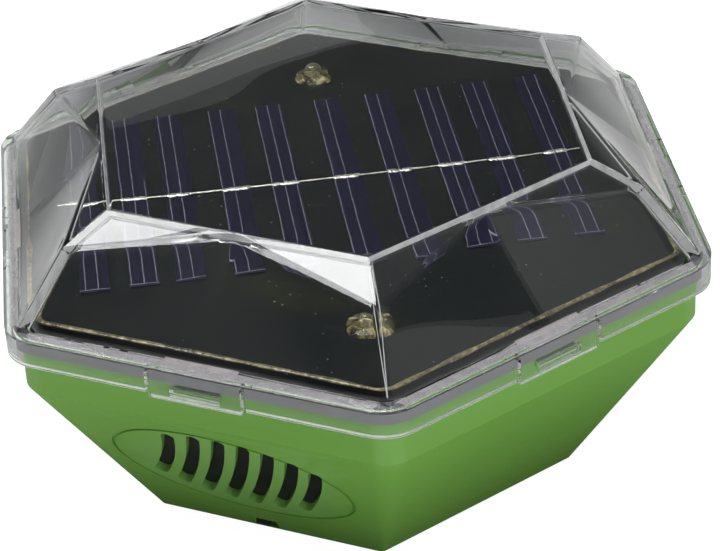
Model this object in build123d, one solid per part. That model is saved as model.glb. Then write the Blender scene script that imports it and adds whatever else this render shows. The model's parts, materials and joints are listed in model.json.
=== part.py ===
from build123d import *
import math
import os

# A small six-sided solar ventilator: a faceted clear lid snaps over a tapered housing, a black
# solar panel sits under the lid, and a motor-driven fan draws air through a guard in the floor
# and blows it out through slots in two of the sloping sides.
# Millimetres, +Z up. Origin: centre of the plane the feet stand on. One corner points along -Y.

# ---- heights, from the resting plane up ----
FOOT_HEIGHT = 4.0
Z_FLOOR = FOOT_HEIGHT
FLOOR_THICK = 2.5
Z_FLOOR_TOP = Z_FLOOR + FLOOR_THICK
Z_CREASE = 54.6
Z_SKIRT = 64.7
Z_RIM = 69.0
Z_FLANGE = 72.2
Z_SHOULDER = 89.7
Z_TOP = 95.1

# ---- corner radii of the hexagons (centre to corner) ----
LID_R = 100.0
LID_ROUND = 11.0
FOOT_R = 96.6
SHOULDER_R = 81.6
TOP_R = 68.2
HOUSING_R = 96.0
HOUSING_ROUND = 9.0
FLOOR_R = 61.9
FLOOR_ROUND = 1.5
PANEL_R = 90.0
PANEL_ROUND = 4.0
DECK_R = 92.4

# ---- feet ----
FOOT_PLACE_R = 48.5
FOOT_RADIUS = 4.2
FOOT_STUB = 3.0

# ---- walls ----
DOME_WALL = 3.2
SKIRT_WALL = 2.0
FLANGE_THICK = 1.6
HOUSING_WALL = 2.2
FIT = 0.3

# ---- sides: the angle that each side faces ----
SIDES = [60.0 * k for k in range(6)]
VENT_SIDES = [240.0, 60.0]
SWITCH_SIDE = 240.0
FLAT = math.cos(math.radians(30.0))
HOUSING_FLAT = HOUSING_R * FLAT
FLOOR_FLAT = FLOOR_R * FLAT
LID_FLAT = LID_R * FLAT

# ---- snap tongues ----
TONGUE_HALF = 12.0
TONGUE_DROP = 1.2
WINDOW_HALF = 6.5
WINDOW_HIGH = 2.3
SLIT = 0.8

# ---- side vents ----
SLOT_COUNT = 7
SLOT_WIDE = 3.5
SLOT_PITCH = 6.25
SLOT_HALF = 17.2
SLOT_LEAN = 21.8
SLOT_BOW = 0.9
VENT_U = 0.8
VENT_W = 33.9
VENT_FALL = 0.15
OVAL_U = -0.8
OVAL_W = 32.2
OVAL_LONG = 32.0
OVAL_SHORT = 20.9
OVAL_TILT = -5.0
GROOVE_WIDE = 0.9
GROOVE_DEEP = 0.5

# ---- solar panel ----
PANEL_THICK = 2.0
Z_PANEL = Z_FLANGE - PANEL_THICK
CELL_PLACES = (-64.3, -52.1, -40.7, -26.1, -13.2, 2.9, 16.7, 30.6, 43.5, 57.9)
CELL_WIDE = 7.4
CELL_TURN = 0.9
CELL_FRONT = -34.3
CELL_BACK = 49.6
BUS_Y = 6.7
BUS_GAP = 1.0
BUS_PAST = 6.0
TAB_HALF = 3.4
TAB_DEEP = 0.9
CELL_THICK = 0.3
LED_Y = 63.0
LED_R = 2.5
LED_FLANGE_R = 2.9
LED_HOLE_R = 2.6
LED_TOP = 76.1

# ---- deck that carries the panel ----
DECK_THICK = 2.0
Z_DECK = Z_PANEL - DECK_THICK
POST_R = 82.0
POST_RADIUS = 3.5
SCREW_R = 1.25
SCREW_HEAD_R = 2.4

# ---- fan and motor ----
DUCT_IN = 33.2
DUCT_OUT = 35.0
DUCT_TOP = 30.0
BOSS_R = 38.0
BOSS_RADIUS = 2.8
GUARD_R = 41.0
INTAKE_R = 33.0
IMPELLER_R = 32.0
HUB_R = 9.0
HUB_LOW = 14.0
HUB_HIGH = 25.0
BLADES = 6
MOTOR_R = 12.2
MOTOR_LOW = 31.0
MOTOR_HIGH = 43.0
MOTOR_WALL = 0.8
SHAFT_R = 1.0
SHAFT_PLAY = 0.04
BUSH_R = 3.0

# ---- electronics under the deck ----
BOARD_X = 54.0
BOARD_Y = 34.0
BOARD_AT_Y = -30.0
BOARD_THICK = 1.6
Z_BOARD = 58.0
HOLDER_X = 60.0
HOLDER_Y = 33.0
HOLDER_AT_Y = 31.0
HOLDER_HIGH = 17.0
HOLDER_WALL = 1.5
CELL_R = 7.1
BATTERY_LONG = 50.0
WIRE_R = 0.65

os.makedirs("parts", exist_ok=True)


# ---------------------------------------------------------------- shared shapes
def hexagon(radius, rounding, z):
    """A hexagon with a corner towards -Y, at a height."""
    outline = RegularPolygon(radius, 6, rotation=30)
    if rounding > 0:
        outline = fillet(outline.vertices(), rounding)
    return Pos(0, 0, z) * outline


def hex_slab(radius, rounding, low, high):
    return extrude(hexagon(radius, rounding, low), high - low)


def hex_taper(low, high):
    """Straight walls between two hexagons, each given as radius, rounding, height."""
    return loft([hexagon(*low).face(), hexagon(*high).face()], ruled=True)


def at_side(angle, out, along=0.0, z=0.0):
    """A place by its distance out from the centre and along the side that faces angle."""
    a = math.radians(angle)
    return (out * math.cos(a) - along * math.sin(a), out * math.sin(a) + along * math.cos(a), z)


def side_box(angle, out_low, out_high, along_low, along_high, z_low, z_high):
    """A box square to one side of the hexagon."""
    centre = at_side(angle, (out_low + out_high) / 2, (along_low + along_high) / 2, (z_low + z_high) / 2)
    block = Box(out_high - out_low, along_high - along_low, z_high - z_low)
    return Pos(*centre) * Rot(0, 0, angle) * block


def box(x0, x1, y0, y1, z0, z1):
    return Pos((x0 + x1) / 2, (y0 + y1) / 2, (z0 + z1) / 2) * Box(x1 - x0, y1 - y0, z1 - z0)


def rod(radius, x, y, low, high):
    return Pos(x, y, (low + high) / 2) * Cylinder(radius, high - low)


def ring(outer, inner, x, y, low, high):
    return rod(outer, x, y, low, high) - rod(inner, x, y, low - 1, high + 1)


def polar(radius, angle):
    return radius * math.cos(math.radians(angle)), radius * math.sin(math.radians(angle))


def sloped_plane(angle, depth=0.0):
    """The outer face of a sloping side: x along the side, y up the slope, from its lower edge."""
    lean = math.atan2(HOUSING_FLAT - FLOOR_FLAT, Z_CREASE - Z_FLOOR)
    out = at_side(angle, math.cos(lean), 0.0, -math.sin(lean))
    start = at_side(angle, FLOOR_FLAT, 0.0, Z_FLOOR)
    origin = tuple(s - depth * o for s, o in zip(start, out))
    return Plane(origin=origin, x_dir=at_side(angle, 0.0, 1.0), z_dir=out)


def pan_screw(x, y, seat, length, up=True):
    """A small pan-head screw whose head bears on the height seat."""
    way = 1 if up else -1
    shank = rod(SCREW_R, x, y, min(seat, seat + way * length), max(seat, seat + way * length))
    head_far = seat - way * 1.4
    head = rod(2.2, x, y, min(seat, head_far), max(seat, head_far))
    slot = box(x - 1.5, x + 1.5, y - 0.3, y + 0.3, head_far - 0.5, head_far + 0.5)
    cross = box(x - 0.3, x + 0.3, y - 1.5, y + 1.5, head_far - 0.5, head_far + 0.5)
    return (shank + head - slot - cross).solid()


def write(name, *shapes):
    """One STEP file for a sub-part, from one solid or a group of separate solids."""
    solids = [solid for shape in shapes for solid in shape.solids()]
    export_step(solids[0] if len(solids) == 1 else Compound(children=solids), f"parts/{name}.step")


# ---------------------------------------------------------------- clear lid
def faceted_dome(top_r, top_z, shoulder_r, shoulder_z, foot_r, foot_z):
    """A hexagonal top, shoulders on the corner lines, and sides creased at their middles."""
    def ring_of_corners(radius, z):
        return [Vector(*polar(radius, 30.0 + 60.0 * k), z) for k in range(6)]

    top, shoulder, foot = (
        ring_of_corners(top_r, top_z),
        ring_of_corners(shoulder_r, shoulder_z),
        ring_of_corners(foot_r, foot_z),
    )
    faces = []
    lid_outline = []
    foot_outline = []
    for k in range(6):
        n = (k + 1) % 6
        crest = (top[k] + top[n]) * 0.5
        sill = (foot[k] + foot[n]) * 0.5
        crease = Edge.make_line(crest, sill)
        lid_outline += [top[k], crest]
        foot_outline += [foot[k], sill]
        faces.append(Face(Wire.make_polygon([top[k], shoulder[k], crest])))
        faces.append(Face(Wire.make_polygon([top[n], crest, shoulder[n]])))
        faces.append(Face.make_surface_from_curves(crease, Edge.make_line(shoulder[k], foot[k])))
        faces.append(Face.make_surface_from_curves(crease, Edge.make_line(shoulder[n], foot[n])))
    faces.append(Face(Wire.make_polygon(lid_outline)))
    faces.append(Face(Wire.make_polygon(foot_outline)))
    return Solid(Shell(faces))


def lid():
    cavity_foot = FOOT_R - 1.45 * DOME_WALL
    shell = Part() + faceted_dome(TOP_R, Z_TOP, SHOULDER_R, Z_SHOULDER, FOOT_R, Z_FLANGE)
    shell += hex_slab(LID_R, LID_ROUND, Z_SKIRT, Z_FLANGE)
    skirt_inside = (LID_FLAT - SKIRT_WALL) / FLAT
    shell -= hex_slab(skirt_inside, LID_ROUND - SKIRT_WALL, Z_SKIRT - 1, Z_FLANGE - FLANGE_THICK)
    shell -= faceted_dome(
        TOP_R - 0.3 * DOME_WALL,
        Z_TOP - DOME_WALL,
        SHOULDER_R - 0.75 * DOME_WALL,
        Z_SHOULDER - 0.8 * DOME_WALL,
        cavity_foot,
        Z_FLANGE,
    )
    shell -= hex_slab(cavity_foot, 0, Z_FLANGE - FLANGE_THICK - 1, Z_FLANGE)
    for side in SIDES:
        shell += lid_pad(side)
        for edge in (-1, 1):
            slit = edge * (TONGUE_HALF + SLIT / 2)
            shell -= side_box(side, LID_FLAT - 3, LID_FLAT + 1, slit - SLIT / 2, slit + SLIT / 2,
                              Z_SKIRT - 1, Z_FLANGE - FLANGE_THICK)
        shell += side_box(side, LID_FLAT - SKIRT_WALL, LID_FLAT, -TONGUE_HALF, TONGUE_HALF,
                          Z_SKIRT - TONGUE_DROP, Z_SKIRT)
        shell -= side_box(side, LID_FLAT - 3, LID_FLAT + 1, -WINDOW_HALF, WINDOW_HALF,
                          Z_SKIRT, Z_SKIRT + WINDOW_HIGH)
    return shell


def lid_pad(side):
    """A solid block in the foot of the dome behind each tongue, which stiffens it."""
    return side_box(side, PANEL_R * FLAT + 1.3, FOOT_R * FLAT, -10.5, 10.5,
                    Z_FLANGE - FLANGE_THICK, Z_FLANGE + 0.6)


# ---------------------------------------------------------------- housing
def vent_slots(side):
    """Curved slots in a leaning row, cut square to the sloping side."""
    cutters = []
    plane = sloped_plane(side)
    middle = (SLOT_COUNT - 1) / 2
    for k in range(SLOT_COUNT):
        step = k - middle
        u = VENT_U + SLOT_PITCH * step
        w = VENT_W - SLOT_PITCH * VENT_FALL * step
        half = SLOT_HALF * math.sqrt(1.0 - (step / 4.25) ** 2)
        lean = math.radians(SLOT_LEAN)
        along = (math.sin(lean), math.cos(lean))
        across = (math.cos(lean), -math.sin(lean))
        low = (u - half * along[0], w - half * along[1])
        high = (u + half * along[0], w + half * along[1])
        mid = (u + SLOT_BOW * across[0], w + SLOT_BOW * across[1])
        outline = SlotArc(ThreePointArc(low, mid, high), SLOT_WIDE)
        cutters += (plane * extrude(outline, 6.0, both=True)).solids()
    return cutters


def vent_groove(side):
    outer = Ellipse(OVAL_LONG, OVAL_SHORT, rotation=OVAL_TILT)
    inner = Ellipse(OVAL_LONG - GROOVE_WIDE, OVAL_SHORT - GROOVE_WIDE, rotation=OVAL_TILT)
    outline = Pos(OVAL_U, OVAL_W) * (outer - inner)
    return sloped_plane(side) * extrude(outline, GROOVE_DEEP, both=True)


def snap_hook(side):
    """A small ledge on the rim behind each window of the lid."""
    hook = side_box(side, HOUSING_FLAT - 0.5, LID_FLAT - SKIRT_WALL - 0.25, -5.8, 5.8,
                    Z_SKIRT + 0.2, Z_SKIRT + WINDOW_HIGH - 0.3)
    return hook


def intake_boss_places():
    return [polar(BOSS_R, 45.0 + 90.0 * k) for k in range(4)]


def base_housing():
    outside = hex_taper((FLOOR_R, FLOOR_ROUND, Z_FLOOR), (HOUSING_R, HOUSING_ROUND, Z_CREASE))
    outside += hex_slab(HOUSING_R, HOUSING_ROUND, Z_CREASE, Z_RIM)
    lean = math.atan2(HOUSING_FLAT - FLOOR_FLAT, Z_CREASE - Z_FLOOR)
    floor_in = FLOOR_FLAT + FLOOR_THICK * math.tan(lean) - HOUSING_WALL / math.cos(lean)
    rim_in = HOUSING_FLAT - HOUSING_WALL - 0.3
    inside = hex_taper((floor_in / FLAT, 1.0, Z_FLOOR_TOP), (rim_in / FLAT, 7.0, Z_CREASE))
    inside += hex_slab(rim_in / FLAT, 7.0, Z_CREASE, Z_RIM)
    posts = Part()
    for k in range(6):
        x, y = polar(POST_R, 30.0 + 60.0 * k)
        posts += rod(POST_RADIUS, x, y, 34.0, Z_DECK) - rod(SCREW_R, x, y, Z_DECK - 11.0, Z_DECK)
    shell = outside - inside + (posts & outside)
    for side in VENT_SIDES:
        for cutter in vent_slots(side):
            shell -= cutter
        shell -= vent_groove(side)
    for side in SIDES:
        shell += snap_hook(side)
    shell -= rod(INTAKE_R, 0, 0, Z_FLOOR - 1, Z_FLOOR_TOP + 1)
    shell -= rod(GUARD_R + FIT, 0, 0, Z_FLOOR - 1, Z_FLOOR + 1.2)
    for x, y in intake_boss_places():
        shell -= rod(SCREW_R, x, y, Z_FLOOR, Z_FLOOR_TOP + 1)
    for x, y in foot_places():
        shell -= rod(FOOT_STUB, x, y, Z_FLOOR - 1, Z_FLOOR + 1)
    shell -= side_box(SWITCH_SIDE, 49.5, 62.0, -3.8, 2.7, Z_FLOOR + 0.6, Z_FLOOR + 4.0)
    return shell


# ---------------------------------------------------------------- feet
def foot_places():
    return [polar(FOOT_PLACE_R, 30.0 + 60.0 * k) for k in range(6)]


def rubber_feet():
    feet = []
    for x, y in foot_places():
        pad = rod(FOOT_RADIUS, x, y, 0.0, Z_FLOOR)
        pad = fillet(pad.edges().group_by(Axis.Z)[0], 0.8)
        feet.append(pad + rod(FOOT_STUB, x, y, Z_FLOOR, Z_FLOOR + 1.0))
    return feet


# ---------------------------------------------------------------- seal
def lid_gasket():
    """A soft strip on the rim, with a lip that hangs outside it."""
    outer = (LID_FLAT - SKIRT_WALL - FIT) / FLAT
    inner = (HOUSING_FLAT - HOUSING_WALL) / FLAT
    seal = hex_slab(outer, LID_ROUND - 2.4, Z_RIM - 1.5, Z_FLANGE - FLANGE_THICK)
    seal -= hex_slab(HOUSING_R, HOUSING_ROUND, Z_RIM - 2.5, Z_RIM)
    seal -= hex_slab(inner, 7.0, Z_RIM - 2.5, Z_FLANGE)
    return seal


# ---------------------------------------------------------------- solar panel
def solar_board():
    board = hex_slab(PANEL_R, PANEL_ROUND, Z_PANEL, Z_FLANGE)
    for y in (-LED_Y, LED_Y):
        board -= rod(LED_HOLE_R, 0, y, Z_PANEL - 1, Z_FLANGE + 1)
    return board


def solar_cells():
    """Two rows of narrow cells that meet at the bus wire, laid slightly askew on the board."""
    strips = []
    for x in CELL_PLACES:
        for low, high in ((CELL_FRONT, BUS_Y - BUS_GAP), (BUS_Y + BUS_GAP, CELL_BACK)):
            strip = box(x - CELL_WIDE / 2, x + CELL_WIDE / 2, low, high, Z_FLANGE, Z_FLANGE + CELL_THICK)
            strips.append(Rot(0, 0, CELL_TURN) * strip)
    return strips


def bus_wire():
    """A tinned wire along the middle of the panel, with a soldered tab at each column."""
    high = Z_FLANGE + CELL_THICK
    wire = box(CELL_PLACES[0] - BUS_PAST, CELL_PLACES[-1] + BUS_PAST, BUS_Y - 0.35, BUS_Y + 0.35, Z_FLANGE, high)
    for x in CELL_PLACES:
        wire += box(x - TAB_HALF, x + TAB_HALF, BUS_Y - TAB_DEEP, BUS_Y + TAB_DEEP, Z_FLANGE, high + 0.2)
    return Rot(0, 0, CELL_TURN) * wire


def panel_bead():
    """The adhesive that holds the panel's edge down on the deck."""
    outer = PANEL_R + 1.0 / FLAT
    bead = hex_taper((outer, PANEL_ROUND, Z_PANEL), (PANEL_R + 0.35, PANEL_ROUND, Z_FLANGE - 0.5))
    return bead - hex_slab(PANEL_R, PANEL_ROUND, Z_PANEL - 1, Z_FLANGE)


def status_led(y):
    """A round clear indicator light that stands up through the panel."""
    body = rod(LED_R, 0, y, Z_PANEL, LED_TOP - LED_R) + Pos(0, y, LED_TOP - LED_R) * Sphere(LED_R)
    body += rod(LED_FLANGE_R, 0, y, Z_PANEL - 1.0, Z_PANEL)
    for leg in (-1.27, 1.27):
        body += box(leg - 0.25, leg + 0.25, y - 0.25, y + 0.25, Z_DECK - 3.0, Z_PANEL - 1.0)
    return body


def led_glue():
    blobs = []
    for y in (-LED_Y, LED_Y):
        blob = Pos(0, y, Z_FLANGE) * Cone(5.2, 3.2, 1.2, align=(Align.CENTER, Align.CENTER, Align.MIN))
        blobs.append(blob - rod(LED_HOLE_R, 0, y, Z_FLANGE - 1, Z_FLANGE + 2))
    return blobs


# ---------------------------------------------------------------- deck
def board_posts():
    return [(sx * (BOARD_X / 2 - 4), BOARD_AT_Y + sy * (BOARD_Y / 2 - 4)) for sx in (-1, 1) for sy in (-1, 1)]


def holder_screws_at():
    return [(-18.0, HOLDER_AT_Y), (18.0, HOLDER_AT_Y)]


def panel_deck():
    deck = hex_slab(DECK_R, 7.0, Z_DECK, Z_PANEL)
    for k in range(6):
        x, y = polar(POST_R, 30.0 + 60.0 * k)
        deck -= rod(SCREW_R + 0.1, x, y, Z_DECK - 1, Z_PANEL + 1)
        deck -= screw_sink(x, y, Z_PANEL)
    for y in (-LED_Y, LED_Y):
        deck -= rod(LED_FLANGE_R + 0.4, 0, y, Z_DECK - 1, Z_PANEL + 1)
    deck -= rod(5.0, 0, 0, Z_DECK - 1, Z_PANEL + 1)
    for x, y in board_posts():
        deck += rod(2.8, x, y, Z_BOARD + BOARD_THICK, Z_DECK)
        deck -= rod(SCREW_R, x, y, Z_BOARD, Z_DECK)
    for x, y in holder_screws_at():
        deck += rod(2.8, x, y, Z_DECK - 3.0, Z_DECK)
        deck -= rod(SCREW_R, x, y, Z_DECK - 4.0, Z_DECK + 0.5)
    for angle in (0.0, 60.0, 120.0):
        deck += rib(angle)
    return deck


def rib(angle):
    """Stiffening ribs under the deck, kept clear of the parts that hang from it."""
    reach = DECK_R * FLAT - 6.0
    pair = Part()
    for low, high in ((-reach, -56.0), (56.0, reach)):
        pair += Rot(0, 0, angle) * box(low, high, -0.8, 0.8, Z_DECK - 4.0, Z_DECK)
    return pair


def screw_sink(x, y, top):
    return Pos(x, y, top - 1.2) * Cone(SCREW_R + 0.05, SCREW_HEAD_R + 0.05, 1.2,
                                       align=(Align.CENTER, Align.CENTER, Align.MIN))


def deck_screws():
    screws = []
    for k in range(6):
        x, y = polar(POST_R, 30.0 + 60.0 * k)
        head = Pos(x, y, Z_PANEL - 1.2) * Cone(SCREW_R, SCREW_HEAD_R, 1.2,
                                               align=(Align.CENTER, Align.CENTER, Align.MIN))
        slot = box(x - 1.6, x + 1.6, y - 0.3, y + 0.3, Z_PANEL - 0.6, Z_PANEL + 0.1)
        screws.append(head + rod(SCREW_R, x, y, Z_DECK - 9.0, Z_PANEL - 1.2) - slot)
    return screws


# ---------------------------------------------------------------- vent screens
def vent_screen(side):
    """A sheet of insect mesh held against the inside of the sloping wall."""
    plane = sloped_plane(side, HOUSING_WALL + 0.1)
    sheet = Pos(VENT_U, VENT_W) * RectangleRounded(56.0, 41.0, 3.0)
    return plane * extrude(sheet, -0.5)


def screen_frame(side):
    """The glued frame that traps the edge of the mesh."""
    plane = sloped_plane(side, HOUSING_WALL + 0.6)
    outline = RectangleRounded(56.0, 41.0, 3.0) - RectangleRounded(50.0, 36.0, 1.5)
    return plane * extrude(Pos(VENT_U, VENT_W) * outline, -1.2)


# ---------------------------------------------------------------- intake guard
def intake_guard():
    low = Z_FLOOR
    flange_top = low + 1.2
    guard = ring(GUARD_R, INTAKE_R - 1.5, 0, 0, low, flange_top)
    for radius in (8.0, 14.0, 20.0, 26.0):
        guard += ring(radius + 0.8, radius - 0.8, 0, 0, low, low + 2.0)
    for k in range(6):
        guard += Rot(0, 0, 60.0 * k) * box(7.5, INTAKE_R - 0.6, -0.8, 0.8, low, low + 2.0)
    guard += rod(5.0, 0, 0, low, low + 1.4)
    for k in range(3):
        guard += Rot(0, 0, 60.0 * k) * box(-8.0, 8.0, -0.8, 0.8, low, low + 1.4)
    for x, y in intake_boss_places():
        guard -= rod(SCREW_R + 0.1, x, y, low - 1, flange_top + 1)
    return guard


def guard_screws():
    return [pan_screw(x, y, Z_FLOOR, 9.0) for x, y in intake_boss_places()]


# ---------------------------------------------------------------- duct and motor mount
def fan_duct():
    """A round duct on the floor, with arms across its top that carry the motor."""
    duct = ring(DUCT_OUT, DUCT_IN, 0, 0, Z_FLOOR_TOP, DUCT_TOP)
    duct += ring(DUCT_OUT + 4.5, DUCT_IN, 0, 0, Z_FLOOR_TOP, Z_FLOOR_TOP + 1.6)
    for x, y in intake_boss_places():
        duct += rod(BOSS_RADIUS, x, y, Z_FLOOR_TOP, Z_FLOOR_TOP + 8.0)
    duct -= rod(DUCT_IN, 0, 0, Z_FLOOR_TOP - 1, DUCT_TOP)
    for x, y in intake_boss_places():
        duct -= rod(SCREW_R, x, y, Z_FLOOR_TOP - 1, Z_FLOOR_TOP + 7.0)
    for k in range(3):
        duct += Rot(0, 0, 30.0 + 120.0 * k) * box(10.0, DUCT_OUT, -2.5, 2.5, DUCT_TOP - 2.5, DUCT_TOP)
    duct += rod(MOTOR_R + 1.8, 0, 0, DUCT_TOP - 2.0, DUCT_TOP)
    duct += ring(MOTOR_R + 1.8, MOTOR_R + 0.1, 0, 0, DUCT_TOP, DUCT_TOP + 5.0)
    duct += ring(MOTOR_R + 1.8, MOTOR_R - 2.0, 0, 0, DUCT_TOP, MOTOR_LOW)
    duct -= rod(BUSH_R + 0.6, 0, 0, DUCT_TOP - 4, DUCT_TOP + 1)
    for x in (-7.0, 7.0):
        duct -= rod(SCREW_R + 0.1, x, 0, DUCT_TOP - 4, DUCT_TOP + 1)
    return duct


def motor_screws():
    return [pan_screw(x, 0.0, DUCT_TOP - 2.0, 2.9) for x in (-7.0, 7.0)]


# ---------------------------------------------------------------- motor
def motor_can():
    can = ring(MOTOR_R, MOTOR_R - MOTOR_WALL, 0, 0, MOTOR_LOW, MOTOR_HIGH)
    can += ring(MOTOR_R, BUSH_R, 0, 0, MOTOR_LOW, MOTOR_LOW + MOTOR_WALL)
    for x in (-7.0, 7.0):
        can -= rod(SCREW_R, x, 0, MOTOR_LOW - 1, MOTOR_LOW + 1)
    return can


def motor_end_cap():
    return ring(MOTOR_R - MOTOR_WALL, BUSH_R, 0, 0, MOTOR_HIGH - 1.6, MOTOR_HIGH)


def motor_bushes():
    lower = ring(BUSH_R, SHAFT_R + SHAFT_PLAY, 0, 0, MOTOR_LOW - 0.6, MOTOR_LOW + 1.2)
    upper = ring(BUSH_R, SHAFT_R + SHAFT_PLAY, 0, 0, MOTOR_HIGH - 1.6, MOTOR_HIGH + 0.6)
    return [lower, upper]


def motor_magnets():
    pair = ring(MOTOR_R - MOTOR_WALL, 9.4, 0, 0, MOTOR_LOW + 1.4, MOTOR_HIGH - 2.6)
    pair -= box(-20, 20, -2.5, 2.5, MOTOR_LOW, MOTOR_HIGH)
    return pair.solids()


def motor_terminals():
    return [box(x - 1.0, x + 1.0, 5.6, 6.0, MOTOR_HIGH, MOTOR_HIGH + 3.0) for x in (-5.0, 5.0)]


def motor_shaft():
    shaft = rod(SHAFT_R, 0, 0, HUB_LOW + 1.0, MOTOR_HIGH + 1.6)
    return chamfer(shaft.edges().filter_by(GeomType.CIRCLE), 0.2)


def motor_core():
    """A three-pole rotor core."""
    low, high = MOTOR_LOW + 2.4, MOTOR_HIGH - 4.2
    core = rod(3.2, 0, 0, low, high)
    shoes = ring(8.6, 7.2, 0, 0, low, high)
    for k in range(3):
        core += Rot(0, 0, 120.0 * k) * box(0.0, 7.6, -1.1, 1.1, low, high)
        shoes -= Rot(0, 0, 60.0 + 120.0 * k) * box(5.0, 9.5, -1.2, 1.2, low - 1, high + 1)
    return core + shoes - rod(SHAFT_R, 0, 0, low - 1, high + 1)


def motor_windings():
    low, high = MOTOR_LOW + 1.8, MOTOR_HIGH - 3.6
    coils = []
    for k in range(3):
        coil = box(3.9, 6.6, -2.6, 2.6, low, high) - box(3.0, 7.0, -1.1, 1.1, low + 0.6, high - 0.6)
        coils.append(Rot(0, 0, 120.0 * k) * coil)
    return coils


def motor_commutator():
    return ring(2.2, SHAFT_R, 0, 0, MOTOR_HIGH - 3.4, MOTOR_HIGH - 1.9)


# ---------------------------------------------------------------- impeller
def blade_section(radius, pitch, chord, z):
    """A blade's section at a radius, turned by its pitch about the radial line."""
    plane = Plane(origin=(radius, 0, z), x_dir=(0, 1, 0), z_dir=(1, 0, 0))
    return plane * (Rot(0, 0, pitch) * RectangleRounded(chord, 1.2, 0.5))


def impeller():
    middle = (HUB_LOW + HUB_HIGH) / 2
    fan = rod(HUB_R, 0, 0, HUB_LOW, HUB_HIGH)
    fan = fillet(fan.edges().group_by(Axis.Z)[0], 2.0)
    blade = loft([blade_section(HUB_R - 1.5, 42.0, 12.5, middle).face(),
                  blade_section(IMPELLER_R + 2.0, 24.0, 19.0, middle).face()], ruled=True)
    blade = blade & rod(IMPELLER_R, 0, 0, HUB_LOW - 6, HUB_HIGH + 6)
    for k in range(BLADES):
        fan += Rot(0, 0, 360.0 / BLADES * k) * blade
    return fan - rod(SHAFT_R, 0, 0, HUB_LOW + 1.0, HUB_HIGH + 6)


# ---------------------------------------------------------------- control board
def control_board():
    board = box(-BOARD_X / 2, BOARD_X / 2, BOARD_AT_Y - BOARD_Y / 2, BOARD_AT_Y + BOARD_Y / 2,
                Z_BOARD, Z_BOARD + BOARD_THICK)
    board = fillet(board.edges().filter_by(Axis.Z), 2.0)
    for x, y in board_posts():
        board -= rod(SCREW_R + 0.1, x, y, Z_BOARD - 1, Z_BOARD + 3)
    return board


def board_screws():
    return [pan_screw(x, y, Z_BOARD, 8.0) for x, y in board_posts()]


def board_chips():
    """The charge controller and a driver, each a flat package."""
    chips = []
    for x, y, wide, deep in ((-10.0, -34.0, 5.0, 4.0), (2.0, -36.0, 6.4, 6.4)):
        chips.append(box(x - wide / 2, x + wide / 2, y - deep / 2, y + deep / 2, Z_BOARD - 1.5, Z_BOARD))
    return chips


def board_coil():
    wound = rod(4.0, 13.0, -36.0, Z_BOARD - 5.0, Z_BOARD)
    return wound - ring(5.0, 2.6, 13.0, -36.0, Z_BOARD - 4.0, Z_BOARD - 1.0)


def board_capacitors():
    cans = []
    for x, y, radius, tall in ((-19.0, -31.0, 3.1, 7.0), (20.0, -28.0, 2.5, 5.0)):
        can = rod(radius, x, y, Z_BOARD - tall, Z_BOARD)
        cans.append(fillet(can.edges().group_by(Axis.Z)[0], 0.5))
    return cans


PLUG_X = (-14.0, -4.5, 5.0, 14.5)
PLUG_Y = BOARD_AT_Y + BOARD_Y / 2


def wire_plugs():
    """Small two-way plugs along the board's edge: spare, panel, motor and battery."""
    plugs = []
    for x in PLUG_X:
        body = box(x - 3.4, x + 3.4, PLUG_Y - 8.0, PLUG_Y - 1.5, Z_BOARD - 5.0, Z_BOARD)
        plugs.append(body - box(x - 2.8, x + 2.8, PLUG_Y - 9.0, PLUG_Y - 7.0, Z_BOARD - 4.4, Z_BOARD - 0.6))
    return plugs


# ---------------------------------------------------------------- battery
Z_HOLDER = Z_DECK - 3.0 - HOLDER_HIGH
BATTERY_Z = Z_HOLDER + CELL_R + 0.9
BATTERY_YS = (HOLDER_AT_Y - 7.9, HOLDER_AT_Y + 7.9)


def battery_holder():
    """An open tray for two cells, hung under the deck with its mouth down."""
    low_y, high_y = HOLDER_AT_Y - HOLDER_Y / 2, HOLDER_AT_Y + HOLDER_Y / 2
    tray = box(-HOLDER_X / 2, HOLDER_X / 2, low_y, high_y, Z_HOLDER, Z_DECK - 3.0)
    tray -= box(-HOLDER_X / 2 + HOLDER_WALL, HOLDER_X / 2 - HOLDER_WALL, low_y + HOLDER_WALL,
                high_y - HOLDER_WALL, Z_HOLDER - 1, Z_DECK - 3.0 - HOLDER_WALL)
    tray -= box(-12.0, 12.0, low_y - 1, high_y + 1, Z_HOLDER - 1, Z_HOLDER + 6.0)
    for x, y in holder_screws_at():
        tray -= rod(SCREW_R + 0.1, x, y, Z_DECK - 6.0, Z_DECK)
    return tray


def battery_cells():
    cells = []
    for y, way in zip(BATTERY_YS, (1, -1)):
        body = Pos(0, y, BATTERY_Z) * Rot(0, 90 * way, 0) * Cylinder(CELL_R, BATTERY_LONG - 1.2)
        nub = Pos(way * (BATTERY_LONG / 2), y, BATTERY_Z) * Rot(0, 90, 0) * Cylinder(2.6, 1.6)
        cells.append(body + nub)
    return cells


def battery_contacts():
    """A flat plate at each cell's button end, and a coned coil at its flat end."""
    pieces = []
    wall = HOLDER_X / 2 - HOLDER_WALL
    for y, way in zip(BATTERY_YS, (1, -1)):
        plate_in = BATTERY_LONG / 2 + 0.8
        outer, inner = max(way * wall, way * plate_in), min(way * wall, way * plate_in)
        pieces.append(box(inner, outer, y - 4.0, y + 4.0, BATTERY_Z - 4.0, BATTERY_Z + 4.0))
        gap = wall - (BATTERY_LONG / 2 - 0.6)
        spring = Pos(-way * (wall - gap / 2), y, BATTERY_Z) * Rot(0, 90 * way, 0) * Cone(5.0, 2.8, gap)
        pieces.append(spring)
    return pieces


def holder_screws():
    inside_top = Z_DECK - 3.0 - HOLDER_WALL
    screws = []
    for x, y in holder_screws_at():
        screws.append(rod(SCREW_R, x, y, inside_top, Z_DECK) + rod(2.2, x, y, inside_top - 1.0, inside_top))
    return screws


# ---------------------------------------------------------------- power switch
SWITCH_OUT = 45.8
SWITCH_TRAVEL = 2.6
KNOB_START = -3.7
KNOB_WIDE = 3.4


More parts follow.
